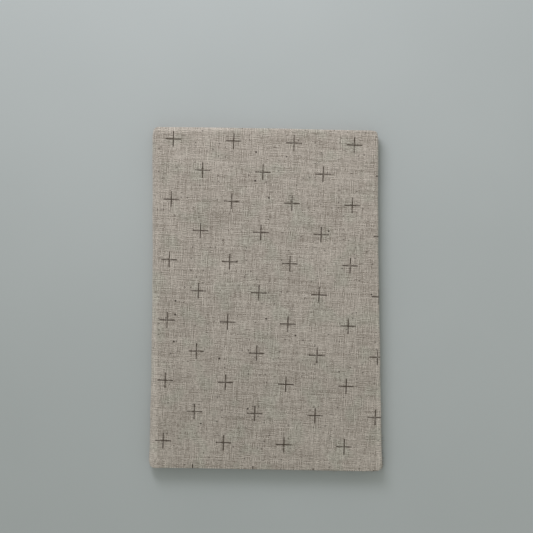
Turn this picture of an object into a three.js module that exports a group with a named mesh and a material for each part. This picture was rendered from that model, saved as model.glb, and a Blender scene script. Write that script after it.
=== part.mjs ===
// A cotton and linen sashiko cloth, folded flat. It is doubled end to end, folded in half again, and
// its side thirds are then turned under the middle one, so that the middle third is the face.
// Millimetres, +Z up, +Y towards the far short edge of the face. The origin is at the centre of the
// footprint, on the surface that the cloth lies on.
import * as THREE from "three";

// The cloth is doubled before any other fold, so the two plies that lie face to face are one lamina.
const LAMINA = 1.0;
const GAP = 0.35;

// Two laminae make the band whose side thirds are turned under, and three bands make the stack.
const BAND = 2 * LAMINA + GAP;
const STOREY = BAND + GAP;
const TOP_STOREY = 2 * STOREY;

// How far a fold reaches out, as a share of half its height: a pressed fold is flatter than round.
const SIDE_REACH = 0.8;
const END_REACH = 0.9;
// Rounding of the doubled end, where the cloth's own first fold lies.
const NOSE_REACH = 0.35;
const NOSE_SHARE = 0.45;

// Half the width of the face, and of the cut cloth.
const HALF_FACE = 61;
const HALF_CUT = 177;

// Where the long edges lie, read at distances along the cloth: the left and right folds of the face,
// and the cut edges of the two turned thirds. The cut edge under the stack runs a little out of
// square, from inside the right fold to just past it. The one within the left fold stops short of it.
const LONG_EDGES = [
  { y: 91, left: -60.2, right: 60.1, under: 57.6, within: -56.3 },
  { y: 55, left: -60.2, right: 60.0, under: 58.7, within: -55.9 },
  { y: 20, left: -60.2, right: 60.2, under: 59.3, within: -55.2 },
  { y: -20, left: -60.6, right: 60.9, under: 60.4, within: -54.7 },
  { y: -55, left: -61.2, right: 61.4, under: 61.2, within: -54.2 },
  { y: -91, left: -62.2, right: 62.1, under: 62.8, within: -53.6 },
];

// Where the short ends lie, read across the flat cloth from one cut edge to the other. Far is the
// fold at the far end, near is the doubled end, and cut is how far the cut ends stop short of it.
const SHORT_ENDS = [
  { u: -177, far: 90.1, near: -92.0, cut: 0.8 },
  { u: -120, far: 90.9, near: -90.8, cut: 1.5 },
  { u: -61, far: 91.3, near: -89.5, cut: 2.2 },
  { u: 0, far: 90.6, near: -90.3, cut: 1.4 },
  { u: 61, far: 89.5, near: -91.2, cut: 0.9 },
  { u: 120, far: 89.9, near: -90.7, cut: 1.7 },
  { u: 177, far: 90.7, near: -89.9, cut: 2.4 },
];

// The laminae of a band are joined at the far fold. Between these two places they slip past each other
// more and more, by what the longer way round a side fold takes.
const SLIP_FROM = 88;
const SLIP_TO = -90;

// The side thirds: the left one is turned to the bottom of the stack, the right one to its middle.
const THIRDS = {
  left: { side: -1, top: BAND, cutEdge: "under" },
  right: { side: 1, top: STOREY + BAND, cutEdge: "within" },
};

// How the stack swells between its folds: one broad crown, and two shallow sets of waves.
const SWELLS = [
  { height: 0.05, acrossWave: 300, alongWave: 420, shift: 0 },
  { height: 0.014, acrossWave: 104, alongWave: 138, shift: 0.9 },
  { height: 0.009, acrossWave: 66, alongWave: 81, shift: 2.3 },
];

// Steps in which each stretch of cloth is built.
const THIRD_STEPS = 9;
const SIDE_FOLD_STEPS = 8;
const LENGTH_STEPS = 12;
const END_FOLD_STEPS = 6;

// A smooth reading between the rows of a table, of the column named value at a place in column key.
function reading(table, key, value) {
  const rows = [...table].sort((a, b) => a[key] - b[key]);
  const places = rows.map((row) => row[key]);
  const values = rows.map((row) => row[value]);
  const curve = new THREE.CubicInterpolant(places, values, 1, [0]);
  return (place) => curve.evaluate(place)[0];
}

const longEdge = {};
for (const name of ["left", "right", "under", "within"]) {
  longEdge[name] = reading(LONG_EDGES, "y", name);
}
const farEnd = reading(SHORT_ENDS, "u", "far");
const nearEnd = reading(SHORT_ENDS, "u", "near");
const cutShort = reading(SHORT_ENDS, "u", "cut");

// Length of half an ellipse, for each unit of its half height.
function halfRound(reach) {
  const slim = Math.sqrt((3 * reach + 1) * (reach + 3));
  return (Math.PI / 2) * (3 * (1 + reach) - slim);
}

// The stops 0 to 1 of a stretch, without its first one if a stretch before it ends there.
function stops(steps, first = 1) {
  return Array.from({ length: steps + 1 - first }, (_, i) => (i + first) / steps);
}

// Places across the flat cloth, from the left cut edge to the right one.
function placesAcross() {
  const { lerp } = THREE.MathUtils;
  const left = (on, share, u) => ({ on, turned: "left", share, u });
  const right = (on, share, u) => ({ on, turned: "right", share, u });
  return [
    ...stops(THIRD_STEPS, 0).map((f) => left("flap", 1 - f, lerp(-HALF_CUT, -HALF_FACE, f))),
    ...stops(SIDE_FOLD_STEPS).map((f) => left("fold", 1 - f, -HALF_FACE)),
    ...stops(THIRD_STEPS).map((f) => ({ on: "face", share: f, u: lerp(-HALF_FACE, HALF_FACE, f) })),
    ...stops(SIDE_FOLD_STEPS).map((f) => right("fold", f, HALF_FACE)),
    ...stops(THIRD_STEPS).map((f) => right("flap", f, lerp(HALF_FACE, HALF_CUT, f))),
  ];
}

// Places along the lamina: from its cut ends under the stack, round the far fold, back to the nose.
function placesAlong() {
  return [
    ...stops(LENGTH_STEPS, 0).map((f) => ({ on: "lower", share: f })),
    ...stops(END_FOLD_STEPS).map((f) => ({ on: "turn", share: f })),
    ...stops(LENGTH_STEPS).map((f) => ({ on: "upper", share: f })),
    { on: "nose", share: 1 },
  ];
}

// The fold in half: how far along the stack a point lies, and its height in the band. Out is its
// distance from the middle of the lamina, towards the outside of the band.
function foldedInHalf(place, u, out) {
  const middle = BAND / 2;
  const level = (LAMINA + GAP) / 2;
  const turnAt = farEnd(u) - END_REACH * middle;
  if (place.on === "turn") {
    const angle = Math.PI * (1 - place.share);
    return {
      y: turnAt + END_REACH * (level + out) * Math.sin(angle),
      height: middle + (level + out) * Math.cos(angle),
    };
  }
  if (place.on === "lower") {
    const from = nearEnd(u) + cutShort(u);
    return { y: THREE.MathUtils.lerp(from, turnAt, place.share), height: middle - level - out };
  }
  const nose = place.on === "nose";
  const flatEnd = nearEnd(u) + NOSE_REACH;
  return {
    y: THREE.MathUtils.lerp(turnAt, flatEnd, place.share) - (nose ? NOSE_REACH : 0),
    height: middle + level + out * (nose ? NOSE_SHARE : 1),
  };
}

// Half the height of a side fold, for cloth at this height in the band.
function foldHalfHeight(third, height) {
  return (TOP_STOREY - third.top) / 2 + height;
}

// Where a side fold starts to leave the face.
function foldStart(turned, y) {
  const { side } = THIRDS[turned];
  return longEdge[turned](y) - side * SIDE_REACH * foldHalfHeight(THIRDS[turned], BAND);
}

// Where a turned third is cut. The lamina inside the fold goes the short way round and reaches the
// cut edge, and the one outside it falls behind, as far as the two have slipped past each other.
function cutEnd(turned, y, height) {
  const { side, cutEdge } = THIRDS[turned];
  const slipped = THREE.MathUtils.clamp((SLIP_FROM - y) / (SLIP_FROM - SLIP_TO), 0, 1);
  const heldBack = THREE.MathUtils.lerp(BAND / 2, height, slipped) - LAMINA / 2;
  return longEdge[cutEdge](y) + side * halfRound(SIDE_REACH) * heldBack;
}

// The thirds turned under: the place in the stack of a point at y along the band and at a height in
// it. The lamina's own middle height sets how much cloth the fold takes up.
function thirdsTurned(place, y, height, laminaHeight) {
  if (place.on === "face") {
    const x = THREE.MathUtils.lerp(foldStart("left", y), foldStart("right", y), place.share);
    return { x, z: TOP_STOREY + height };
  }
  const third = THIRDS[place.turned];
  const start = foldStart(place.turned, y);
  if (place.on === "flap") {
    const x = THREE.MathUtils.lerp(start, cutEnd(place.turned, y, laminaHeight), place.share);
    return { x, z: third.top - height };
  }
  const half = foldHalfHeight(third, height);
  const angle = Math.PI * place.share;
  return {
    x: start + third.side * SIDE_REACH * half * Math.sin(angle),
    z: (TOP_STOREY + third.top) / 2 + half * Math.cos(angle),
  };
}

// How much thicker the stack is at a place than its plies alone.
function swell(x, y) {
  return SWELLS.reduce((sum, wave) => {
    const across = Math.cos((2 * Math.PI * x) / wave.acrossWave + wave.shift);
    const along = Math.cos((2 * Math.PI * y) / wave.alongWave - wave.shift);
    return sum + wave.height * across * along;
  }, 1);
}

// One corner of the cloth's skin: out is plus or minus half the lamina.
function skinPoint(across, along, out) {
  const { y, height } = foldedInHalf(along, across.u, out);
  const laminaHeight = foldedInHalf(along, across.u, 0).height;
  const { x, z } = thirdsTurned(across, y, height, laminaHeight);
  return new THREE.Vector3(x, y, z * swell(x, y));
}

// The closed skin of the folded cloth: an outer and an inner grid, joined round the cut edges.
function clothGeometry() {
  const across = placesAcross();
  const along = placesAlong();
  const points = [];
  for (const out of [LAMINA / 2, -LAMINA / 2]) {
    for (const a of across) {
      for (const b of along) points.push(skinPoint(a, b, out));
    }
  }
  const at = (layer, i, j) => (layer * across.length + i) * along.length + j;
  const index = [];
  const quad = (a, b, c, d) => index.push(a, b, c, a, c, d);
  const lastI = across.length - 1;
  const lastJ = along.length - 1;
  for (let i = 0; i < lastI; i++) {
    for (let j = 0; j < lastJ; j++) {
      quad(at(0, i, j), at(0, i, j + 1), at(0, i + 1, j + 1), at(0, i + 1, j));
      quad(at(1, i, j), at(1, i + 1, j), at(1, i + 1, j + 1), at(1, i, j + 1));
    }
    quad(at(0, i, 0), at(0, i + 1, 0), at(1, i + 1, 0), at(1, i, 0));
    quad(at(0, i + 1, lastJ), at(0, i, lastJ), at(1, i, lastJ), at(1, i + 1, lastJ));
  }
  for (let j = 0; j < lastJ; j++) {
    quad(at(0, 0, j + 1), at(0, 0, j), at(1, 0, j), at(1, 0, j + 1));
    quad(at(0, lastI, j), at(0, lastI, j + 1), at(1, lastI, j + 1), at(1, lastI, j));
  }
  const geometry = new THREE.BufferGeometry().setFromPoints(points);
  geometry.setIndex(index);
  return geometry;
}

// Puts the origin at the centre of the footprint, on the lowest face.
function standOnOrigin(geometry) {
  geometry.computeBoundingBox();
  const box = geometry.boundingBox;
  const centre = box.getCenter(new THREE.Vector3());
  geometry.translate(-centre.x, -centre.y, -box.min.z);
  geometry.computeVertexNormals();
  return geometry;
}

const linen = new THREE.MeshStandardMaterial({ color: 0xa89d8f, roughness: 0.95, metalness: 0 });

const cloth = new THREE.Mesh(standOnOrigin(clothGeometry()), linen);
cloth.name = "folded_cloth";

const part = new THREE.Group();
part.add(cloth);

export default part;
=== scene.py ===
# %% [markdown]
# A length of sashiko cloth, folded flat. The real object is one cut piece of undyed cotton and linen,
# printed with small plus marks to stitch over. The construction model holds its true size and its
# folds, so this script loads it first as a fixed frame. Everything below is built around that frame,
# in metres, and nothing in the frame is moved.

# %% Load the frame
import math
import random
from dataclasses import dataclass

import bmesh
import bpy
import numpy as np
from mathutils import Matrix, Vector


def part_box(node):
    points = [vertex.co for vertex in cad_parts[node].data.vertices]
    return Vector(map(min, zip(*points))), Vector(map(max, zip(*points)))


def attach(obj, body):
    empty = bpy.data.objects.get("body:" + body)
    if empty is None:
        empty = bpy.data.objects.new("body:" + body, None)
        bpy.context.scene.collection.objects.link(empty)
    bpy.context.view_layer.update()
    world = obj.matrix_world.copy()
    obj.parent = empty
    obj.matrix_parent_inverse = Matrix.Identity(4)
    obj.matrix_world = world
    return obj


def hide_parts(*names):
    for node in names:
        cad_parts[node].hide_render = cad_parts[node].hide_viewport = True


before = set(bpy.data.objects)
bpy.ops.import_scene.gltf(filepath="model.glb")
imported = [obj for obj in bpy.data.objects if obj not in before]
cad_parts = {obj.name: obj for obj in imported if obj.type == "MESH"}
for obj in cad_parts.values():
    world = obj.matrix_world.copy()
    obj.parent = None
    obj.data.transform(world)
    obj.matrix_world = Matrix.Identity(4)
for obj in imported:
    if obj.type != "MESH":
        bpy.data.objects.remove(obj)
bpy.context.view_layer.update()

node_low, node_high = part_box("folded_cloth")

# %% [markdown]
# How the real cloth is folded. It is doubled end to end, folded in half again, and its side thirds are
# turned under the middle one. That makes four plies in a band and three bands in the stack. A plain
# cube with a cloth texture would show no ply at any edge, and a cloth simulation would need minutes to
# press twelve plies flat. Here the folds are written as two maps, first along the cloth and then
# across it, so one continuous sheet goes through all of them, as the real one does.

# %% Sizes of the folded cloth, in millimetres
MM = 0.001
PLY = 0.45
PLY_HEIGHTS = {"outer_low": 0.225, "inner_low": 0.775, "inner_high": 1.575, "outer_high": 2.125}
BAND = 2.35
GAP = 0.35
STOREY = BAND + GAP
TOP_STOREY = 2 * STOREY

# Where the long edges lie, read along the cloth: the folds of the face, and the two cut edges.
LONG_EDGES = [
    {"y": -91, "left": -62.2, "right": 62.1, "under": 62.8, "within": -53.6},
    {"y": -55, "left": -61.2, "right": 61.4, "under": 61.2, "within": -54.2},
    {"y": -20, "left": -60.6, "right": 60.9, "under": 60.4, "within": -54.7},
    {"y": 20, "left": -60.2, "right": 60.2, "under": 59.3, "within": -55.2},
    {"y": 55, "left": -60.2, "right": 60.0, "under": 58.7, "within": -55.9},
    {"y": 91, "left": -60.2, "right": 60.1, "under": 57.6, "within": -56.3},
]

# Where the short ends lie, read across the flat cloth: the far fold, the doubled end that is near,
# and how far the cut ends stop short of it.
SHORT_ENDS = [
    {"u": -177, "far": 90.1, "near": -92.0, "cut": 0.8},
    {"u": -120, "far": 90.9, "near": -90.8, "cut": 1.5},
    {"u": -61, "far": 91.3, "near": -89.5, "cut": 2.2},
    {"u": 0, "far": 90.6, "near": -90.3, "cut": 1.4},
    {"u": 61, "far": 89.5, "near": -91.2, "cut": 0.9},
    {"u": 120, "far": 89.9, "near": -90.7, "cut": 1.7},
    {"u": 177, "far": 90.7, "near": -89.9, "cut": 2.4},
]


def reading(rows, key, value):
    """A smooth reading of one column of a table, at any place along its key column."""
    places = np.array([row[key] for row in rows], float)
    values = np.array([row[value] for row in rows], float)
    slopes = np.gradient(values, places)

    def read(at):
        i = np.clip(np.searchsorted(places, at) - 1, 0, len(places) - 2)
        width = places[i + 1] - places[i]
        t = np.clip((at - places[i]) / width, 0, 1)
        start = (1 + 2 * t) * (1 - t) ** 2 * values[i] + t * (1 - t) ** 2 * width * slopes[i]
        end = t * t * (3 - 2 * t) * values[i + 1] - t * t * (1 - t) * width * slopes[i + 1]
        return start + end

    return read


long_edge = {name: reading(LONG_EDGES, "y", name) for name in ("left", "right", "under", "within")}
short_end = {name: reading(SHORT_ENDS, "u", name) for name in ("far", "near", "cut")}
middle_width = float(long_edge["right"](0.0) - long_edge["left"](0.0))
print("face is", round(middle_width, 1), "mm wide in the middle")

# %% [markdown]
# The folds along the cloth. Seen from the side, each band is one line: from a cut end under the stack
# it runs to the far fold, comes back as the visible face, turns tightly at the doubled end, and goes
# round the inside of the same folds to the other cut end. Half ellipses make the turns, because a
# pressed fold is flatter than a round one.

# %% Path of the sheet along the cloth
END_REACH = 0.9
NOSE_REACH = 0.8
PLY_STEPS = 56
TURN_STEPS = 8
CUT_CELL = 0.4


def shares(steps, with_first=False):
    """Even shares from 0 to 1, without the 0 unless it is asked for."""
    return np.arange(0 if with_first else 1, steps + 1) / steps


def path_along(u):
    """y and height in the band of each stop along the sheet, at one place across the flat cloth."""
    far, near, cut = (short_end[name](u) for name in ("far", "near", "cut"))
    turn_at = far - END_REACH * PLY_HEIGHTS["outer_high"] / 2
    nose_height = (PLY_HEIGHTS["outer_high"] - PLY_HEIGHTS["inner_high"]) / 2
    nose_at = near + NOSE_REACH * (nose_height + PLY / 2)
    y, height = [], []

    def straight(start, end, ply, steps=PLY_STEPS, with_first=False):
        share = shares(steps, with_first)
        y.extend(start + (end - start) * share)
        height.extend(np.full(len(share), PLY_HEIGHTS[ply]))

    def turn(at, reach, from_ply, to_ply):
        low, high = PLY_HEIGHTS[from_ply], PLY_HEIGHTS[to_ply]
        angle = math.pi * shares(TURN_STEPS)
        y.extend(at + reach * abs(high - low) / 2 * np.sin(angle))
        height.extend((low + high) / 2 - (high - low) / 2 * np.cos(angle))

    cut_end = near + cut
    straight(cut_end, cut_end + CUT_CELL, "outer_low", 1, with_first=True)
    straight(cut_end + CUT_CELL, turn_at, "outer_low")
    turn(turn_at, END_REACH, "outer_low", "outer_high")
    straight(turn_at, nose_at, "outer_high")
    turn(nose_at, -NOSE_REACH, "outer_high", "inner_high")
    straight(nose_at, turn_at, "inner_high")
    turn(turn_at, END_REACH, "inner_high", "inner_low")
    straight(turn_at, cut_end + CUT_CELL, "inner_low")
    straight(cut_end + CUT_CELL, cut_end, "inner_low", 1)
    return np.array(y), np.array(height)


stops_along = len(path_along(0.0)[0])
print("stops along the sheet", stops_along)

# %% [markdown]
# The folds across the cloth. The left third goes round the whole stack and ends under the right fold,
# and the right third is tucked between the other two. A ply on the outside of a fold takes the longer
# way round, so at the cut edges the plies end in steps, like the pages of a bent book. The far fold
# joins them, so they are flush there and slip apart towards the near end.

# %% The turned thirds
SIDE_REACH = 0.8
SLIP_FROM = 88.0
SLIP_TO = -90.0
LOW_LAMINA = (PLY_HEIGHTS["outer_low"] + PLY_HEIGHTS["inner_low"]) / 2
HIGH_LAMINA = (PLY_HEIGHTS["outer_high"] + PLY_HEIGHTS["inner_high"]) / 2


@dataclass
class Third:
    """A turned third. Its name and its cut edge are columns of the table of long edges, and its top
    is how high the storey that it lies in reaches."""
    name: str
    side: int
    top: float
    cut_edge: str


LEFT = Third("left", -1, BAND, "under")
RIGHT = Third("right", 1, STOREY + BAND, "within")


def half_round(reach):
    """Length of half an ellipse, for each unit of its half height."""
    slim = math.sqrt((3 * reach + 1) * (reach + 3))
    return math.pi / 2 * (3 * (1 + reach) - slim)


def fold_half(third, height):
    """Half the height of a side fold, for a ply at this height in its band."""
    return (TOP_STOREY - third.top) / 2 + height


def fold_start(third, y):
    """Where the cloth starts to leave the face for a side fold."""
    return long_edge[third.name](y) - third.side * SIDE_REACH * fold_half(third, BAND)


def held_back(y, height):
    """How far the cut edge of a ply falls behind that of the innermost one, on the longer way round."""
    lamina = np.where(height < BAND / 2, LOW_LAMINA, HIGH_LAMINA)
    slipped = np.clip((SLIP_FROM - y) / (SLIP_FROM - SLIP_TO), 0, 1)
    return half_round(SIDE_REACH) * (BAND / 2 + slipped * (lamina - BAND / 2) - LOW_LAMINA)


print("outer plies fall back", round(float(held_back(SLIP_TO, BAND)), 1), "mm at the near end")

# %% [markdown]
# The sheet as a grid of stops. Each stop across the cloth lies on a turned third, in a side fold or on
# the face, and the whole path along the cloth is walked at each one. All plies then come from one
# grid, so the sheet is in one piece through all its folds. The stops are close in the folds and far
# apart on the flat stretches, which keeps the mesh light.

# %% Stops across the cloth
FACE_STEPS = 44
FLAP_STEPS = 26
SIDE_FOLD_STEPS = 12
HALF_FACE = 61.0
HALF_CUT = 177.0
CUT_CELL_SHARE = 0.004


def stops_across():
    """(region, third, share, place on the flat cloth) of each stop, from the left cut edge on."""
    flap = np.append(shares(FLAP_STEPS), 1 - CUT_CELL_SHARE)
    flap.sort()
    fold = shares(SIDE_FOLD_STEPS)
    reach = HALF_CUT - HALF_FACE
    left = [("flap", LEFT, f, -HALF_FACE - reach * f) for f in flap[::-1]]
    left += [("fold", LEFT, f, -HALF_FACE) for f in fold[::-1]]
    face = [("face", LEFT, f, HALF_FACE * (2 * f - 1)) for f in shares(FACE_STEPS, with_first=True)]
    right = [("fold", RIGHT, f, HALF_FACE) for f in fold]
    right += [("flap", RIGHT, f, HALF_FACE + reach * f) for f in flap]
    return left + face + right


def across(region, third, share, y, height):
    """x and z of the sheet at a stop across it, for plies at this y and height in the band."""
    if region == "face":
        start, end = fold_start(LEFT, y), fold_start(RIGHT, y)
        return start + (end - start) * share, TOP_STOREY + height
    start = fold_start(third, y)
    if region == "flap":
        end = long_edge[third.cut_edge](y) + third.side * held_back(y, height)
        return start + (end - start) * share, third.top - height
    half = fold_half(third, height)
    angle = math.pi * share
    x = start + third.side * SIDE_REACH * half * math.sin(angle)
    return x, (TOP_STOREY + third.top) / 2 + half * math.cos(angle)


stops = stops_across()
sheet, outer_sheet = [], []
for region, third, share, u in stops:
    y, height = path_along(u)
    x, z = across(region, third, share, y, height)
    sheet.append(np.stack([x, y, z, height], axis=1))
    outermost = np.full_like(y, PLY_HEIGHTS["outer_high"])
    outer_sheet.append(np.stack(across(region, third, share, y, outermost), axis=1))
sheet, outer_sheet = np.array(sheet), np.array(outer_sheet)
print("stops across and along", sheet.shape[:2])

# %% [markdown]
# Where each point lay on the flat cloth. The print and the weave belong to the flat cloth, so each
# point keeps its flat place as a UV. It is the distance walked over the sheet from the middle of the
# face, which keeps the threads evenly spaced round every fold. The walk across is taken on the
# outermost ply for all four plies, so that a thread keeps its place as it turns from ply to ply.

# %% Flat places of the points
is_face = np.array([stop[0] == "face" for stop in stops])
middle_across = int(np.flatnonzero(is_face).mean())
middle_along = int(np.flatnonzero(sheet[middle_across, :, 3] == PLY_HEIGHTS["outer_high"]).mean())


def walked(points, middle):
    """Distance walked along the first axis of the points, counted from its middle stop."""
    steps = np.linalg.norm(np.diff(points, axis=0), axis=-1)
    walk = np.concatenate([np.zeros((1, points.shape[1])), np.cumsum(steps, axis=0)])
    return walk - walk[middle]


flat_u = walked(outer_sheet, middle_across) + outer_sheet[middle_across, :, 0]
along = sheet[:, :, [1, 3]].transpose(1, 0, 2)
flat_v = sheet[:, middle_along, 1][:, None] - walked(along, middle_along).T

# %% [markdown]
# How unevenly the stack lies. A folded cloth is never a stack of flat boards: it swells in the middle
# where air stays in, and dips over the step where the tucked third ends. A simulation would find dips
# of its own, but not where this cloth has them, so each one is given along its own line. They fade
# towards the bottom of the stack, so the lowest ply stays flat on the surface that carries it.

# %% Swell and creases
SWELLS = [
    {"height": 0.05, "across": 300, "along": 420, "shift": 0.0},
    {"height": 0.014, "across": 104, "along": 138, "shift": 0.9},
    {"height": 0.009, "across": 66, "along": 81, "shift": 2.3},
]

# Troughs, with a depth above zero, and ridges, below it. Start and end lie on the face.
CREASES = [
    {"start": (-56.8, 4), "end": (-57.6, -90), "depth": 0.34, "width": 1.1},
    {"start": (-59.4, 90), "end": (-58.6, 30), "depth": 0.16, "width": 0.8},
    {"start": (59.2, -16), "end": (60.4, -90), "depth": 0.30, "width": 0.8},
    {"start": (58.0, 88), "end": (58.3, 40), "depth": 0.14, "width": 0.9},
    {"start": (-30, 88), "end": (-22, -84), "depth": 0.24, "width": 9.0},
    {"start": (16, 90), "end": (27, -60), "depth": -0.24, "width": 11.0},
    {"start": (-54, 34), "end": (50, 22), "depth": 0.20, "width": 10.0},
    {"start": (-50, -36), "end": (56, -28), "depth": -0.22, "width": 12.0},
    {"start": (40, 72), "end": (60, 46), "depth": 0.20, "width": 4.0},
]
STACK_HEIGHT = TOP_STOREY + BAND
CREASE_TIP = 0.04
CREASE_FADE = 0.5


def swell(x, y):
    """How much thicker the stack is at a place than its plies alone."""
    total = np.ones_like(x)
    for wave in SWELLS:
        across_wave = np.cos(2 * math.pi * x / wave["across"] + wave["shift"])
        along_wave = np.cos(2 * math.pi * y / wave["along"] - wave["shift"])
        total += wave["height"] * across_wave * along_wave
    return total


def creased(x, y):
    """How far all the creases together press the top of the stack down at a place."""
    pressed = np.zeros_like(x)
    for crease in CREASES:
        start, end = np.array(crease["start"], float), np.array(crease["end"], float)
        run = end - start
        share = ((x - start[0]) * run[0] + (y - start[1]) * run[1]) / (run @ run)
        held = np.clip(share, 0, 1)
        away = np.hypot(x - start[0] - held * run[0], y - start[1] - held * run[1])
        fade = np.sin(math.pi * np.clip(share, CREASE_TIP, 1 - CREASE_TIP)) ** CREASE_FADE
        pressed += crease["depth"] * fade * np.exp(-((away / crease["width"]) ** 2))
    return pressed


x, y, z, height = (sheet[:, :, axis].copy() for axis in range(4))
print("deepest crease", round(float(creased(x, y).max()), 2), "mm")

# %% [markdown]
# How the ends gape. Nothing presses on the two short ends of the stack, so the bands part there a
# little and lift what lies on them. A gap of one even height would look machined, so each of the two
# gapes has its own widest opening at either end and wavers across it.

# %% Gaping ends
# Each gape lies just above one band, and wavers in a long wave crossed by a short one.
GAPES = [
    {"above": BAND, "far": 0.30, "near": 0.18, "wave": 15.0, "shift": 0.6},
    {"above": STOREY + BAND, "far": 0.22, "near": 0.30, "wave": 21.0, "shift": 2.4},
]
HALF_LENGTH = 91.0
GAPE_DEPTH = 34.0
GAPE_SHORT_WAVE = 8.7
GAPE_MIDDLE = 0.55


def gaping(x, y, z):
    """How far the bands above a place have parted there and lift what lies on them."""
    lifted = np.zeros_like(x)
    for gape in GAPES:
        widest = np.where(y < 0, gape["near"], gape["far"])
        at_end = np.clip(1 - (HALF_LENGTH - np.abs(y)) / GAPE_DEPTH, 0, 1) ** 2
        long_wave = np.sin(x / gape["wave"] + gape["shift"])
        short_wave = np.cos(x / GAPE_SHORT_WAVE - gape["shift"])
        waver = GAPE_MIDDLE + (1 - GAPE_MIDDLE) * long_wave * short_wave
        lifted += widest * at_end * waver * np.clip((z - gape["above"]) / GAP, 0, 1)
    return lifted


print("widest gape", round(float(gaping(x, y, z).max()), 2), "mm")

# %% [markdown]
# The edges and corners. The side folds waver a little, each ply in its own way. A corner, where a fold
# crosses a fold, is too thick to come out sharp, so it is drawn in. Both are small moves of the points
# that are there already, which is simpler than a table with more rows.

# %% Wavering side folds and drawn-in corners
WAVERS = [
    {"reach": 0.10, "length": 5.3, "by_ply": 3.0},
    {"reach": 0.07, "length": 2.1, "by_ply": 8.1},
]
EDGE_REACH = 4.0
CORNER_REACH = 3.0
CORNER_PULL = 0.8


def wavering(place, height):
    """A small uneven wander along an edge, different for each ply."""
    return sum(w["reach"] * np.sin(place / w["length"] + w["by_ply"] * height) for w in WAVERS)


near_side = np.clip((np.abs(x) - (HALF_FACE - EDGE_REACH)) / EDGE_REACH, 0, 1) ** 2
x += np.sign(x) * near_side * wavering(y, height)

side_at = np.where(x < 0, long_edge["left"](y), long_edge["right"](y))
u = np.array([stop[3] for stop in stops])[:, None]
end_at = np.where(y < 0, short_end["near"](u), short_end["far"](u))
to_side, to_end = np.abs(side_at - x), np.abs(end_at - y)
corner = np.clip(1 - to_side / CORNER_REACH, 0, 1) * np.clip(1 - to_end / CORNER_REACH, 0, 1)
x -= np.sign(x) * CORNER_PULL * corner
y -= np.sign(y) * CORNER_PULL * corner
z = z * swell(x, y) - creased(x, y) * (z / STACK_HEIGHT) ** 2 + gaping(x, y, z)
points = np.stack([x, y, z], axis=2)
print("thickest place", round(float(z.max()), 2), "mm")

# %% [markdown]
# The sheet as a mesh. The grid of points is joined into quads, and its UV map takes the flat places
# in metres. Blender's Solidify modifier then gives the sheet its thickness and closes it round the
# cut edges, which is easier to read than building both skins by hand.

# %% Build the cloth
def on_origin(grid):
    """The shift, in metres, that puts the cloth where the construction model stands."""
    low, high = grid.min(axis=(0, 1)) * MM, grid.max(axis=(0, 1)) * MM
    middle = (np.array(node_low) + np.array(node_high)) / 2 - (low + high) / 2
    return Vector((middle[0], middle[1], 0.0))


shift = on_origin(points)
across_count, along_count = points.shape[:2]
cloth_mesh = bpy.data.meshes.new("folded_sashiko_cloth")
vertices = [Vector(p) * MM + shift for p in points.reshape(-1, 3)]
starts = [i * along_count + j for i in range(across_count - 1) for j in range(along_count - 1)]
faces = [(s, s + 1, s + 1 + along_count, s + along_count) for s in starts]
cloth_mesh.from_pydata(vertices, [], faces)
flat_places = np.stack([flat_u.ravel(), flat_v.ravel()], axis=1) * MM
uv_layer = cloth_mesh.uv_layers.new(name="flat_place")
corners = np.empty(len(cloth_mesh.loops), int)
cloth_mesh.loops.foreach_get("vertex_index", corners)
uv_layer.data.foreach_set("uv", flat_places[corners].ravel())
cloth_mesh.shade_smooth()
cloth_mesh.update()

cloth = bpy.data.objects.new("folded_sashiko_cloth", cloth_mesh)
bpy.context.collection.objects.link(cloth)
thickness = cloth.modifiers.new("ply thickness", "SOLIDIFY")
thickness.thickness = PLY * MM
thickness.offset = 0.0
print("quads in the sheet", len(faces))

# %% [markdown]
# A loose thread end. A cut edge of plain weave sheds short ends of thread. They are too thin to
# matter from afar, but without them the rim would be as hard as that of a board. Each end is a short
# tapered tube of three sides, which leaves the edge and drifts to one side. Tubes are used and not
# hair curves, so that the ends are there in the exported mesh too.

# %% One thread end
THREAD_RADIUS = 0.13
THREAD_LENGTHS = [0.5, 0.7, 0.9, 1.2, 1.8]
LENGTH_SPREAD = (0.8, 1.25)
SIDE_DRIFT = (-0.7, 0.7)
RISE = (-0.35, 0.3)
TAPER = 0.6
THREAD_SIDES = 3
THREAD_PIECES = 3
FLOOR_CLEARANCE = 0.15
UP = Vector((0, 0, 1))

# Each end takes its one colour from a place on the flat cloth, this many metres from its middle.
COLOUR_PLACES = (0.0, 0.1)


def add_thread(bm, uv_of, root, out, rng):
    """One thread end: it leaves the edge, drifts sideways and tapers."""
    length = rng.choice(THREAD_LENGTHS) * rng.uniform(*LENGTH_SPREAD)
    side = out.cross(UP).normalized()
    drift = side * rng.uniform(*SIDE_DRIFT) + UP * rng.uniform(*RISE)
    rings = []
    for step in range(THREAD_PIECES + 1):
        t = step / THREAD_PIECES
        middle = root + out * length * t + drift * length * t * t
        middle.z = max(middle.z, FLOOR_CLEARANCE)
        radius = THREAD_RADIUS * (1 - TAPER * t)
        ring = []
        for corner in range(THREAD_SIDES):
            angle = 2 * math.pi * corner / THREAD_SIDES
            place = middle + (side * math.cos(angle) + UP * math.sin(angle)) * radius
            ring.append(bm.verts.new(place * MM + shift))
        rings.append(ring)
    faces = [bm.faces.new(rings[0]), bm.faces.new(reversed(rings[-1]))]
    for lower, upper in zip(rings, rings[1:]):
        for corner in range(THREAD_SIDES):
            after = (corner + 1) % THREAD_SIDES
            faces.append(bm.faces.new((lower[corner], upper[corner], upper[after], lower[after])))
    colour_place = (rng.uniform(*COLOUR_PLACES), rng.uniform(*COLOUR_PLACES))
    for face in faces:
        face.smooth = True
        for loop in face.loops:
            loop[uv_of].uv = colour_place


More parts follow.
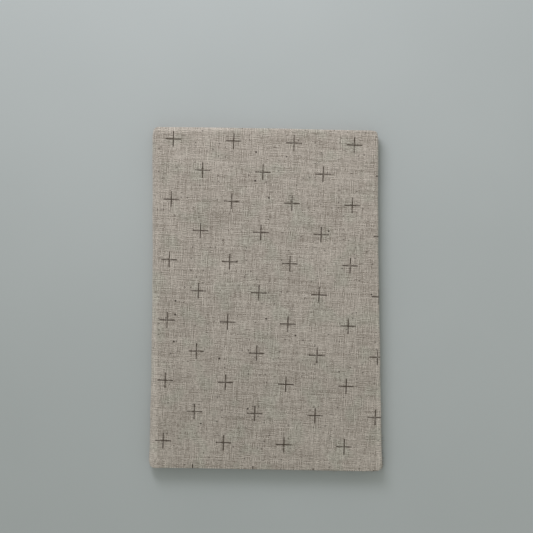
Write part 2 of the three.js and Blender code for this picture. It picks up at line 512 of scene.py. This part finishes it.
longest = max(THREAD_LENGTHS) * max(LENGTH_SPREAD)
print("thread ends reach up to", round(longest, 2), "mm")

# %% [markdown]
# Where the thread ends go. They stand along all four cut edges of the sheet, at uneven steps, and each
# one points out of the cloth. Lengths and steps are random but seeded, so every run makes the same
# cloth. All of them are one mesh, because an object for each would be slow to handle.

# %% Threads along the cut edges
THREAD_SPACING = 1.3
SPACING_SPREAD = (0.3, 1.7)
THREAD_SEED = 32


def edge_walks():
    """Each cut edge as its points and the directions out of the cloth there."""
    lines = [(points[:, 0], points[:, 1]), (points[:, -1], points[:, -2])]
    lines += [(points[0], points[1]), (points[-1], points[-2])]
    return [(edge, edge - inner) for edge, inner in lines]


rng = random.Random(THREAD_SEED)
bm = bmesh.new()
uv_of = bm.loops.layers.uv.new("flat_place")
thread_count = 0
for edge, outward in edge_walks():
    lengths = np.concatenate([[0], np.cumsum(np.linalg.norm(np.diff(edge, axis=0), axis=1))])
    place = rng.uniform(0, THREAD_SPACING)
    while place < lengths[-1]:
        root = Vector([np.interp(place, lengths, edge[:, axis]) for axis in range(3)])
        out = Vector([np.interp(place, lengths, outward[:, axis]) for axis in range(3)])
        out.z = 0
        add_thread(bm, uv_of, root, out.normalized(), rng)
        thread_count += 1
        place += THREAD_SPACING * rng.uniform(*SPACING_SPREAD)
bmesh.ops.recalc_face_normals(bm, faces=bm.faces)
thread_mesh = bpy.data.meshes.new("loose_thread_ends")
bm.to_mesh(thread_mesh)
bm.free()
threads = bpy.data.objects.new("loose_thread_ends", thread_mesh)
bpy.context.collection.objects.link(threads)
print("thread ends", thread_count)

# %% [markdown]
# Helpers for arithmetic. The effects of the finish are worked out with plain arithmetic nodes, because
# a formula of a point's flat place has no seam and no pixels. These helpers keep one operation to a
# line.

# %% Helpers for arithmetic
def wire(tree, value, socket):
    """Joins an output to a socket, or sets the socket if the value is a constant."""
    if isinstance(value, bpy.types.NodeSocket):
        tree.links.new(value, socket)
    else:
        socket.default_value = value


def arithmetic(tree, operation, *values):
    """The result of one Math node."""
    node = tree.nodes.new("ShaderNodeMath")
    node.operation = operation
    for value, socket in zip(values, node.inputs):
        wire(tree, value, socket)
    return node.outputs["Value"]


def vector_arithmetic(tree, operation, *values):
    """The result of one Vector Math node. A Scale takes its factor as the last value."""
    node = tree.nodes.new("ShaderNodeVectorMath")
    node.operation = operation
    sockets = [node.inputs[0], node.inputs["Scale"]] if operation == "SCALE" else node.inputs
    for value, socket in zip(values, sockets):
        wire(tree, value, socket)
    return node.outputs["Vector"]


def apart(tree, vector):
    """The x and y of a vector."""
    node = tree.nodes.new("ShaderNodeSeparateXYZ")
    wire(tree, vector, node.inputs["Vector"])
    return node.outputs["X"], node.outputs["Y"]


def together(tree, x, y, z=0.0):
    """A vector of x, y and z."""
    node = tree.nodes.new("ShaderNodeCombineXYZ")
    for value, socket in zip((x, y, z), node.inputs):
        wire(tree, value, socket)
    return node.outputs["Vector"]


print("helpers for arithmetic ready")

# %% [markdown]
# Helpers for noise and colour. Nothing that is spun, woven or rubbed is even, so most effects start
# from a noise. A soft ramp then picks which part of it counts, and a mix lays the result over a colour.

# %% Helpers for noise and colour
def cloudy(tree, vector, scale=1.0, detail=0.0, output="Fac"):
    """A Noise Texture, as a value round a half or as a colour."""
    node = tree.nodes.new("ShaderNodeTexNoise")
    node.inputs["Scale"].default_value = scale
    node.inputs["Detail"].default_value = detail
    wire(tree, vector, node.inputs["Vector"])
    return node.outputs[output]


def ramp(tree, value, low, high, to_low=0.0, to_high=1.0):
    """Maps a value between two limits onto two others, softly and without going past them."""
    node = tree.nodes.new("ShaderNodeMapRange")
    node.interpolation_type = "SMOOTHSTEP"
    limits = (value, low, high, to_low, to_high)
    for given, name in zip(limits, ("Value", "From Min", "From Max", "To Min", "To Max")):
        wire(tree, given, node.inputs[name])
    return node.outputs["Result"]


def blend_colours(tree, share, first, second, blend_type="MIX"):
    """A mix of two colours, or with MULTIPLY the first one tinted by the second."""
    node = tree.nodes.new("ShaderNodeMix")
    node.data_type = "RGBA"
    node.blend_type = blend_type
    sockets = {socket.identifier: socket for socket in node.inputs}
    wire(tree, share, sockets["Factor_Float"])
    wire(tree, first, sockets["A_Color"])
    wire(tree, second, sockets["B_Color"])
    return next(socket for socket in node.outputs if socket.identifier == "Result_Color")


print("helpers for noise and colour ready")

# %% [markdown]
# Helpers for node groups. Each effect is a group with named sockets. It is built once, and each place
# that needs it gives it values of its own, as the flecks below do three times.

# %% Helpers for groups
def new_group(name, inputs, outputs):
    """An empty shader group with named sockets, and its own inputs and outputs by name."""
    tree = bpy.data.node_groups.new(name, "ShaderNodeTree")
    for label, kind, value in inputs:
        socket = tree.interface.new_socket(label, in_out="INPUT", socket_type=kind)
        if value is not None:
            socket.default_value = value
    for label, kind in outputs:
        tree.interface.new_socket(label, in_out="OUTPUT", socket_type=kind)
    return tree, tree.nodes.new("NodeGroupInput").outputs, tree.nodes.new("NodeGroupOutput").inputs


def place_group(tree, group, **values):
    """A group placed in a material, with its inputs set by name."""
    node = tree.nodes.new("ShaderNodeGroup")
    node.node_tree = group
    for label, value in values.items():
        wire(tree, value, node.inputs[label.replace("_", " ").title()])
    return node.outputs


NUMBER, VECTOR = "NodeSocketFloat", "NodeSocketVector"
print("helpers for groups ready")

# %% [markdown]
# The threads of the weave. Cotton and linen yarn is spun unevenly, so every thread has its own tone,
# and its tone drifts along its length. Pale and darker threads also lie turn about in some places. The
# group works that out from the flat place, so the threads follow the folds, and they wander a little
# off their straight lines. An image of cloth would have to be tiled and would repeat in plain view.

# %% Threads of the plain weave
WARP_SEED = 3.5
WEFT_SEED = 11.5
THREAD_STRIDE = 7.31
TONE_DETAIL = 1.5
WANDER_SCALE = 0.07
TURN_ABOUT_SCALE = 0.16
TURN_ABOUT_STRIDE = 20.0

weave, given, result = new_group(
    "plain weave",
    [("Flat Place", VECTOR, None), ("Warp Pitch", NUMBER, 0.5), ("Weft Pitch", NUMBER, 0.5),
     ("Warp Slub", NUMBER, 5.0), ("Weft Slub", NUMBER, 5.0), ("Wander", NUMBER, 0.5),
     ("Turn About", NUMBER, 0.5), ("Blotch Size", VECTOR, (1.0, 1.0, 1.0)),
     ("Blotches", NUMBER, 0.3)],
    [("Tone", NUMBER), ("Height", NUMBER)],
)
wander = cloudy(weave, given["Flat Place"], WANDER_SCALE, detail=1.0, output="Color")
wander = vector_arithmetic(weave, "SUBTRACT", wander, (0.5, 0.5, 0.5))
wander = vector_arithmetic(weave, "SCALE", wander, given["Wander"])
place_x, place_y = apart(weave, vector_arithmetic(weave, "ADD", given["Flat Place"], wander))


def thread_number_and_profile(at, pitch):
    """Which thread a place is on, and how high its round side stands there."""
    count = arithmetic(weave, "DIVIDE", at, pitch)
    number = arithmetic(weave, "FLOOR", count)
    turn = arithmetic(weave, "MULTIPLY", arithmetic(weave, "FRACT", count), math.pi)
    return number, arithmetic(weave, "SINE", turn)


def thread_tone(number, along, slub, seed):
    """The tone of a thread: its own, how that drifts along it, and some of pale and dark turn about."""
    apart_by_thread = arithmetic(weave, "MULTIPLY", number, THREAD_STRIDE)
    slow = arithmetic(weave, "DIVIDE", along, slub)
    own = cloudy(weave, together(weave, apart_by_thread, slow, seed), detail=TONE_DETAIL)
    even_or_odd = arithmetic(weave, "FLOORED_MODULO", number, 2.0)
    pale_or_dark = arithmetic(weave, "MULTIPLY_ADD", even_or_odd, 2.0, -1.0)
    moved = vector_arithmetic(weave, "ADD", given["Flat Place"], (seed, TURN_ABOUT_STRIDE * seed, 0.0))
    here = arithmetic(weave, "SUBTRACT", cloudy(weave, moved, TURN_ABOUT_SCALE, detail=1.0), 0.5)
    here = arithmetic(weave, "MULTIPLY", here, given["Turn About"])
    return arithmetic(weave, "MULTIPLY_ADD", pale_or_dark, here, own)


warp_number, warp_profile = thread_number_and_profile(place_x, given["Warp Pitch"])
weft_number, weft_profile = thread_number_and_profile(place_y, given["Weft Pitch"])
warp_tone = thread_tone(warp_number, place_y, given["Warp Slub"], WARP_SEED)
weft_tone = thread_tone(weft_number, place_x, given["Weft Slub"], WEFT_SEED)
print("threads of the weave", len(weave.nodes), "nodes")

# %% [markdown]
# The crossings of the weave. In a plain weave each crossing shows either the thread that runs along the
# cloth or the one that runs across it, by turns. Where pale and dark threads lie turn about, that makes
# fine bars, upright here and level there. Loose fibre makes small blotches over both. Each crossing
# stands up like a small pillow, because both of its threads are round.

# %% Crossings of the plain weave
PILLOW = 0.6

warp_on_top = arithmetic(weave, "FLOORED_MODULO", arithmetic(weave, "ADD", warp_number, weft_number), 2.0)
difference = arithmetic(weave, "SUBTRACT", warp_tone, weft_tone)
thread_on_top = arithmetic(weave, "MULTIPLY_ADD", difference, warp_on_top, weft_tone)
in_blotches = vector_arithmetic(weave, "DIVIDE", given["Flat Place"], given["Blotch Size"])
uneven = arithmetic(weave, "SUBTRACT", cloudy(weave, in_blotches), 0.5)
tone = arithmetic(weave, "MULTIPLY_ADD", uneven, given["Blotches"], thread_on_top)
wire(weave, tone, result["Tone"])
pillow = arithmetic(weave, "POWER", arithmetic(weave, "MULTIPLY", warp_profile, weft_profile), PILLOW)
wire(weave, pillow, result["Height"])
print("weave group", len(weave.nodes), "nodes")

# %% [markdown]
# The print. Small plus marks stand in a staggered grid, 32 mm from one to the next in a row, with the
# next row half a step across. The group folds the plane into one cell of that grid and measures how
# far a place is from the two bars of the plus. The ink covers only in part, so a crossing of two bars
# is darker than the bars. Drawing each mark by hand would give the same picture at the cost of a long
# list.

# %% Group of the printed plus marks
printed, given, result = new_group(
    "printed plus marks",
    [("Flat Place", VECTOR, None), ("Pitch", NUMBER, 32.0), ("Arm", NUMBER, 4.0),
     ("Line", NUMBER, 0.5), ("Blur", NUMBER, 0.1), ("Cover", NUMBER, 0.8)],
    [("Mask", NUMBER)],
)


def marks_of_one_grid(offset):
    """The mask of one square grid of marks, moved by a share of the pitch both ways."""
    away = []
    for at in apart(printed, given["Flat Place"]):
        moved = arithmetic(printed, "ADD", arithmetic(printed, "DIVIDE", at, given["Pitch"]), offset)
        cell = arithmetic(printed, "SUBTRACT", moved, arithmetic(printed, "ROUND", moved))
        away.append(arithmetic(printed, "MULTIPLY", arithmetic(printed, "ABSOLUTE", cell), given["Pitch"]))
    half_line = arithmetic(printed, "MULTIPLY", given["Line"], 0.5)
    bars = []
    for beside, along_bar in (away, away[::-1]):
        edge = arithmetic(printed, "ADD", half_line, given["Blur"])
        in_line = ramp(printed, beside, half_line, edge, 1.0, 0.0)
        tip = arithmetic(printed, "ADD", given["Arm"], given["Blur"])
        in_arm = ramp(printed, along_bar, given["Arm"], tip, 1.0, 0.0)
        bar = arithmetic(printed, "MULTIPLY", in_line, in_arm)
        bars.append(arithmetic(printed, "MULTIPLY", bar, given["Cover"]))
    twice = arithmetic(printed, "MULTIPLY", *bars)
    return arithmetic(printed, "SUBTRACT", arithmetic(printed, "ADD", *bars), twice)


both_grids = arithmetic(printed, "MAXIMUM", marks_of_one_grid(0.0), marks_of_one_grid(0.5))
wire(printed, both_grids, result["Mask"])
print("print group", len(printed.nodes), "nodes")

# %% [markdown]
# Flecks. Linen keeps bits of husk and dark fibre, which show as dots and short dashes. A Voronoi
# texture scatters one centre to a cell, its random colour picks which cells hold a fleck, and a
# stretched flat place makes dashes out of dots.

# %% Group of the flecks
SMALLEST_FLECK = 0.45
SHARP_CORE = 0.6

flecks, given, result = new_group(
    "linen flecks",
    [("Flat Place", VECTOR, None), ("Spacing", NUMBER, 9.0), ("Size", NUMBER, 0.4), ("Share", NUMBER, 0.4)],
    [("Mask", NUMBER)],
)
cells = flecks.nodes.new("ShaderNodeTexVoronoi")
cells.voronoi_dimensions = "2D"
cells.inputs["Scale"].default_value = 1.0
per_cell = arithmetic(flecks, "DIVIDE", 1.0, given["Spacing"])
wire(flecks, vector_arithmetic(flecks, "SCALE", given["Flat Place"], per_cell), cells.inputs["Vector"])
distance = arithmetic(flecks, "MULTIPLY", cells.outputs["Distance"], given["Spacing"])
lot, other_lot = apart(flecks, cells.outputs["Color"])
share_of_size = ramp(flecks, other_lot, 0.0, 1.0, SMALLEST_FLECK, 1.0)
size = arithmetic(flecks, "MULTIPLY", given["Size"], share_of_size)
core = arithmetic(flecks, "MULTIPLY", size, SHARP_CORE)
dot = ramp(flecks, distance, core, size, 1.0, 0.0)
chosen = arithmetic(flecks, "LESS_THAN", lot, given["Share"])
wire(flecks, arithmetic(flecks, "MULTIPLY", dot, chosen), result["Mask"])
print("fleck group", len(flecks.nodes), "nodes")

# %% [markdown]
# A painted highlight along the folds. Where a pressed fold rounds over, it catches the light, and that
# is painted into the colour as a paler strip. The mask is 1 from just before each fold to past it.
# Below a small notch the left fold has a wider strip. Vertex paint could hold such a mask too, but only as
# finely as the mesh.

# %% Group of the painted fold highlight
# A strip fades in over one breadth of the fade, and out over this many.
FADES_OUT = 3.0

# Painted highlight: paler strips along the folds, where they catch the light.
painted_fold_highlight, given, result = new_group(
    "painted fold highlight",
    [("Flat Place", VECTOR, None), ("Left", NUMBER, 59.2), ("Wide Left", NUMBER, 56.8),
     ("Notch", NUMBER, 3.3), ("Right", NUMBER, 58.2), ("Far", NUMBER, 88.6), ("Fade", NUMBER, 1.0),
     ("Breadth", NUMBER, 11.0)],
    [("Mask", NUMBER)],
)


def strip(at, start):
    """A soft strip of the given breadth, from its start on."""
    full = arithmetic(painted_fold_highlight, "ADD", start, given["Fade"])
    end = arithmetic(painted_fold_highlight, "ADD", start, given["Breadth"])
    fading = arithmetic(painted_fold_highlight, "MULTIPLY_ADD", given["Fade"], -FADES_OUT, end)
    rise = ramp(painted_fold_highlight, at, start, full)
    return arithmetic(painted_fold_highlight, "MULTIPLY", rise, ramp(painted_fold_highlight, at, fading, end, 1.0, 0.0))


rightward, farward = apart(painted_fold_highlight, given["Flat Place"])
leftward = arithmetic(painted_fold_highlight, "MULTIPLY", rightward, -1.0)
notch_end = arithmetic(painted_fold_highlight, "SUBTRACT", given["Notch"], given["Fade"])
below_notch = ramp(painted_fold_highlight, farward, notch_end, given["Notch"], 1.0, 0.0)
highlight_mask = arithmetic(painted_fold_highlight, "MULTIPLY", below_notch, strip(leftward, given["Wide Left"]))
for at, start in ((leftward, "Left"), (rightward, "Right"), (farward, "Far")):
    highlight_mask = arithmetic(painted_fold_highlight, "MAXIMUM", highlight_mask, strip(at, given[start]))
wire(painted_fold_highlight, highlight_mask, result["Mask"])
print("painted fold highlight group", len(painted_fold_highlight.nodes), "nodes")

# %% [markdown]
# Where the finish takes its place from. Each point's flat place comes from the UV map, in millimetres.
# It is turned by the two degrees that the cloth was folded off its grain, which turns the weave and
# the print together. One material serves the cloth and its thread ends.

# %% Flat place along the grain
OFF_GRAIN = math.radians(1.95)


def flat_place(tree):
    """The flat place in millimetres."""
    uv = tree.nodes.new("ShaderNodeUVMap")
    uv.uv_map = "flat_place"
    return vector_arithmetic(tree, "SCALE", uv.outputs["UV"], 1 / MM)


def along_the_grain(tree, place):
    """A flat place turned so that its axes run with the threads."""
    turned = tree.nodes.new("ShaderNodeMapping")
    turned.inputs["Rotation"].default_value = (0.0, 0.0, OFF_GRAIN)
    wire(tree, place, turned.inputs["Vector"])
    return turned.outputs["Vector"]


def new_material(name):
    """A material with its node tree and its Principled BSDF."""
    material = bpy.data.materials.new(name)
    material.use_nodes = True
    return material, material.node_tree, material.node_tree.nodes["Principled BSDF"]


linen, tree, shader = new_material("printed linen")
flat = flat_place(tree)
grain = along_the_grain(tree, flat)
print("grain turned by", round(math.degrees(OFF_GRAIN), 2), "degrees")

# %% [markdown]
# The colour of the cloth. The thread's tone mixes a dark and a light yarn colour. The tone is lowered
# in the hollows between threads and raised on their crowns, as painted shade of the weave's relief. It
# drifts in slow clouds, and along the folds it is raised as a painted highlight where they catch the
# light. The yarn that runs across the cloth is spun more evenly and keeps its tone twice as far as the
# other. Undyed linen isn't of one hue either, so a last tint goes from greenish places to warmer ones.
# A single colour with a bump would have the relief of cloth, but not its heathered look.

# %% Yarn colours
LIGHT_YARN = (0.766, 0.682, 0.614, 1.0)
DARK_YARN = (0.259, 0.214, 0.179, 1.0)
# How much painted shade darkens the hollows between threads and lightens their crowns.
PAINTED_HOLLOW_SHADE = 0.30
HOLLOW_LEVEL = 0.8
CLOUD_SCALE = 0.035
CLOUDS = 0.24
# How much the painted highlight along the folds lightens the tone.
FOLD_HIGHLIGHT = 0.2
GREEN_CAST = (0.956, 1.0, 0.96, 1.0)
WARM_CAST = (0.994, 0.994, 0.973, 1.0)
CAST_SCALE = 0.08
CAST_LIMITS = (0.30, 0.53)
CAST_PLACE = (90.0, 40.0, 0.0)

yarn = {"warp_pitch": 0.62, "weft_pitch": 0.58, "warp_slub": 7.0, "weft_slub": 14.0}
yarn |= {"wander": 1.2, "turn_about": 0.62, "blotch_size": (1.4, 0.7, 1.0), "blotches": 0.50}
woven = place_group(tree, weave, flat_place=grain, **yarn)
tone = ramp(tree, woven["Tone"], 0.0, 1.0)
# Painted shade: darker in the hollows between threads, lighter on their crowns.
hollow_shade = arithmetic(tree, "SUBTRACT", woven["Height"], HOLLOW_LEVEL)
tone = arithmetic(tree, "MULTIPLY_ADD", hollow_shade, PAINTED_HOLLOW_SHADE, tone)
cloud = arithmetic(tree, "SUBTRACT", cloudy(tree, grain, CLOUD_SCALE, detail=2.0), 0.5)
tone = arithmetic(tree, "MULTIPLY_ADD", cloud, CLOUDS, tone)
# Painted highlight along the folds, where they catch the light.
fold_highlight = place_group(tree, painted_fold_highlight, flat_place=flat)
tone = arithmetic(tree, "MULTIPLY_ADD", fold_highlight["Mask"], FOLD_HIGHLIGHT, tone)
colour = blend_colours(tree, tone, DARK_YARN, LIGHT_YARN)

elsewhere = vector_arithmetic(tree, "ADD", grain, CAST_PLACE)
warmth = ramp(tree, cloudy(tree, elsewhere, CAST_SCALE, detail=1.0), *CAST_LIMITS)
cast = blend_colours(tree, warmth, GREEN_CAST, WARM_CAST)
colour = blend_colours(tree, 1.0, colour, cast, "MULTIPLY")
print("colour of the yarn", len(tree.nodes), "nodes so far")

# %% [markdown]
# Flecks on the cloth. The fleck group is placed three times, for sparse dark husks, for small round
# specks that are less dark, and for short fibres that lie across the cloth. For the fibres the flat
# place is stretched, so their dots come out as dashes.

# %% Husks, specks and fibres
HUSK = (0.055, 0.04, 0.03, 1.0)
SPECK_PLACE = (37.0, 11.0, 0.0)
FIBRE_STRETCH = (0.22, 1.0, 1.0)
HUSK_DEPTH, SPECK_DEPTH, FIBRE_DEPTH = 0.95, 0.6, 0.43

husks = place_group(tree, flecks, flat_place=grain, spacing=8.0, size=0.72, share=0.11)
beside = vector_arithmetic(tree, "ADD", grain, SPECK_PLACE)
specks = place_group(tree, flecks, flat_place=beside, spacing=3.2, size=0.56, share=0.22)
stretched = vector_arithmetic(tree, "MULTIPLY", grain, FIBRE_STRETCH)
fibres = place_group(tree, flecks, flat_place=stretched, spacing=2.6, size=0.31, share=0.32)
flecked = 0.0
for kind, depth in ((husks, HUSK_DEPTH), (specks, SPECK_DEPTH), (fibres, FIBRE_DEPTH)):
    flecked = arithmetic(tree, "MAXIMUM", flecked, arithmetic(tree, "MULTIPLY", kind["Mask"], depth))
colour = blend_colours(tree, flecked, colour, HUSK)
print("flecks placed", len(tree.nodes), "nodes so far")

# %% [markdown]
# The print on the cloth. The grid of plus marks starts at one mark near the middle of the face, which
# sets where all the others fall. Ink takes best on the crowns of the threads, less in the hollows, and
# not everywhere alike, so the thread height and a slow noise thin it. Flat black bars would look
# stuck on.

# %% Ink of the plus marks
INK = (0.041, 0.024, 0.012, 1.0)
FIRST_MARK = Vector((-3.52, 3.37, 0.0))
INK_IN_HOLLOWS = 0.72
CROWN = 0.8
PATCH_SCALE = 0.42
PATCH_LIMITS = (0.35, 0.55)
THINNEST_INK = 0.68

bars = {"pitch": 32.0, "arm": 4.05, "line": 0.46, "blur": 0.22, "cover": 0.98}
first_mark = Matrix.Rotation(OFF_GRAIN, 3, "Z") @ FIRST_MARK
from_mark = vector_arithmetic(tree, "SUBTRACT", grain, tuple(first_mark))
marks = place_group(tree, printed, flat_place=from_mark, **bars)
taken = ramp(tree, woven["Height"], 0.0, CROWN, INK_IN_HOLLOWS, 1.0)
patches = cloudy(tree, grain, PATCH_SCALE, detail=1.0)
patchy = ramp(tree, patches, *PATCH_LIMITS, THINNEST_INK, 1.0)
inked = arithmetic(tree, "MULTIPLY", marks["Mask"], arithmetic(tree, "MULTIPLY", taken, patchy))
colour = blend_colours(tree, inked, colour, INK)
wire(tree, colour, shader.inputs["Base Color"])
print("mark pitch", bars["pitch"], "mm")

# %% [markdown]
# The surface of the cloth. The thread heights and tones feed a Bump node, since threads this fine would
# take millions of faces. Darker yarn is duller. Sheen on the shader stands for the fuzz of the fibres,
# which catches light at the folds.

# %% Roughness, relief and sheen
RELIEF_STRENGTH = 0.55
RELIEF_HEIGHT = 0.00016
DULL, LESS_DULL = 0.95, 0.82
TONE_LIMITS = (0.3, 0.7)
SPECULAR = 0.25
SHEEN, SHEEN_ROUGHNESS = 0.18, 0.6

dullness = ramp(tree, woven["Tone"], *TONE_LIMITS, DULL, LESS_DULL)
wire(tree, dullness, shader.inputs["Roughness"])
bump = tree.nodes.new("ShaderNodeBump")
bump.inputs["Strength"].default_value = RELIEF_STRENGTH
bump.inputs["Distance"].default_value = RELIEF_HEIGHT
raised = arithmetic(tree, "ADD", woven["Height"], woven["Tone"])
wire(tree, raised, bump.inputs["Height"])
wire(tree, bump.outputs["Normal"], shader.inputs["Normal"])
shader.inputs["Specular IOR Level"].default_value = SPECULAR
shader.inputs["Sheen Weight"].default_value = SHEEN
shader.inputs["Sheen Roughness"].default_value = SHEEN_ROUGHNESS
cloth.data.materials.append(linen)
threads.data.materials.append(linen)
print("cloth material", len(tree.nodes), "nodes")

# %% [markdown]
# The floor. The cloth lies on a plain pale floor that isn't part of it. Its paint is very slightly
# mottled, because a floor of one exact colour looks like a drawn background.

# %% Floor
FLOOR_REACH = 3.0
FLOOR_COLOURS = [(0.512, 0.537, 0.532, 1.0), (0.528, 0.553, 0.548, 1.0)]
MOTTLE_SCALE = 9.0
MOTTLE_LIMITS = (0.3, 0.7)
PAINT_ROUGHNESS = 0.9
PAINT_SPECULAR = 0.2

floor_mesh = bpy.data.meshes.new("floor")
floor_corners = [(FLOOR_REACH * a, FLOOR_REACH * b, 0) for a, b in ((-1, -1), (1, -1), (1, 1), (-1, 1))]
floor_mesh.from_pydata(floor_corners, [], [(0, 1, 2, 3)])
floor = bpy.data.objects.new("floor", floor_mesh)
bpy.context.collection.objects.link(floor)
paint, tree, shader = new_material("pale floor")
where = tree.nodes.new("ShaderNodeTexCoord").outputs["Object"]
mottled = ramp(tree, cloudy(tree, where, MOTTLE_SCALE, detail=3.0), *MOTTLE_LIMITS)
wire(tree, blend_colours(tree, mottled, *FLOOR_COLOURS), shader.inputs["Base Color"])
shader.inputs["Roughness"].default_value = PAINT_ROUGHNESS
shader.inputs["Specular IOR Level"].default_value = PAINT_SPECULAR
floor_mesh.materials.append(paint)
print("floor", 2 * FLOOR_REACH, "m wide")

# %% [markdown]
# The light. It is soft and falls off from the far left, as it does beside a window, so one wide lamp
# hangs there, and a pale world fills the shadows. The Standard view keeps the colours as they are
# given, without the softer contrast of a film look.

# %% Lamp and world
WINDOW_AT, WINDOW_AIM = Vector((-0.16, 0.475, 0.41)), Vector((0.23, 0.435, 0.0))
WINDOW_SIZE = 0.35
WINDOW_WATTS = 2.35
WINDOW_COLOUR = (0.93, 0.93, 1.0)
ROOM_COLOUR = (0.96, 1.0, 0.95, 1.0)
ROOM_STRENGTH = 0.476

window_light = bpy.data.lights.new("window", "AREA")
window_light.size = WINDOW_SIZE
window_light.energy = WINDOW_WATTS
window_light.color = WINDOW_COLOUR
window = bpy.data.objects.new("window", window_light)
bpy.context.collection.objects.link(window)
window.location = WINDOW_AT
window.rotation_euler = (WINDOW_AIM - WINDOW_AT).to_track_quat("-Z", "Y").to_euler()
world = bpy.data.worlds.new("pale room")
world.use_nodes = True
room = world.node_tree.nodes["Background"]
room.inputs["Color"].default_value = ROOM_COLOUR
room.inputs["Strength"].default_value = ROOM_STRENGTH
bpy.context.scene.world = world
bpy.context.scene.view_settings.view_transform = "Standard"
print("lamp", round(window.location.z, 2), "m above the floor")

# %% [markdown]
# The camera. The photograph looks straight down from above the far half of the cloth. Its scale comes
# from the print: 32 mm between marks measure 60.35 pixels of the 533 that the picture is wide.

# %% Camera
PHOTO_PIXELS = 533
MARK_PIXELS = 60.35
MM_PER_PIXEL = bars["pitch"] / MARK_PIXELS
FACE_AT_PIXEL = (265.4, 299.2)
CAMERA_HEIGHT = 0.62
SENSOR = 36.0

photo_width = PHOTO_PIXELS * MM_PER_PIXEL * MM
aim_x = (PHOTO_PIXELS / 2 - FACE_AT_PIXEL[0]) * MM_PER_PIXEL * MM + shift.x
aim_y = (FACE_AT_PIXEL[1] - PHOTO_PIXELS / 2) * MM_PER_PIXEL * MM + shift.y
camera_data = bpy.data.cameras.new("overhead")
camera_data.sensor_width = SENSOR
camera_data.lens = SENSOR * (CAMERA_HEIGHT - STACK_HEIGHT * MM) / photo_width
camera = bpy.data.objects.new("overhead", camera_data)
bpy.context.collection.objects.link(camera)
camera.location = (aim_x, aim_y, CAMERA_HEIGHT)
bpy.context.scene.camera = camera
print("lens", round(camera_data.lens, 1), "mm")

# %% [markdown]
# Last, the pieces are tied to the frame. The cloth and its thread ends ride on the one body, and the
# construction model's solid of the same folds is hidden, since the cloth stands for it.

# %% Tie the pieces to the frame
for piece in (cloth, threads):
    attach(piece, "root")
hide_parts("folded_cloth")
bpy.context.view_layer.update()
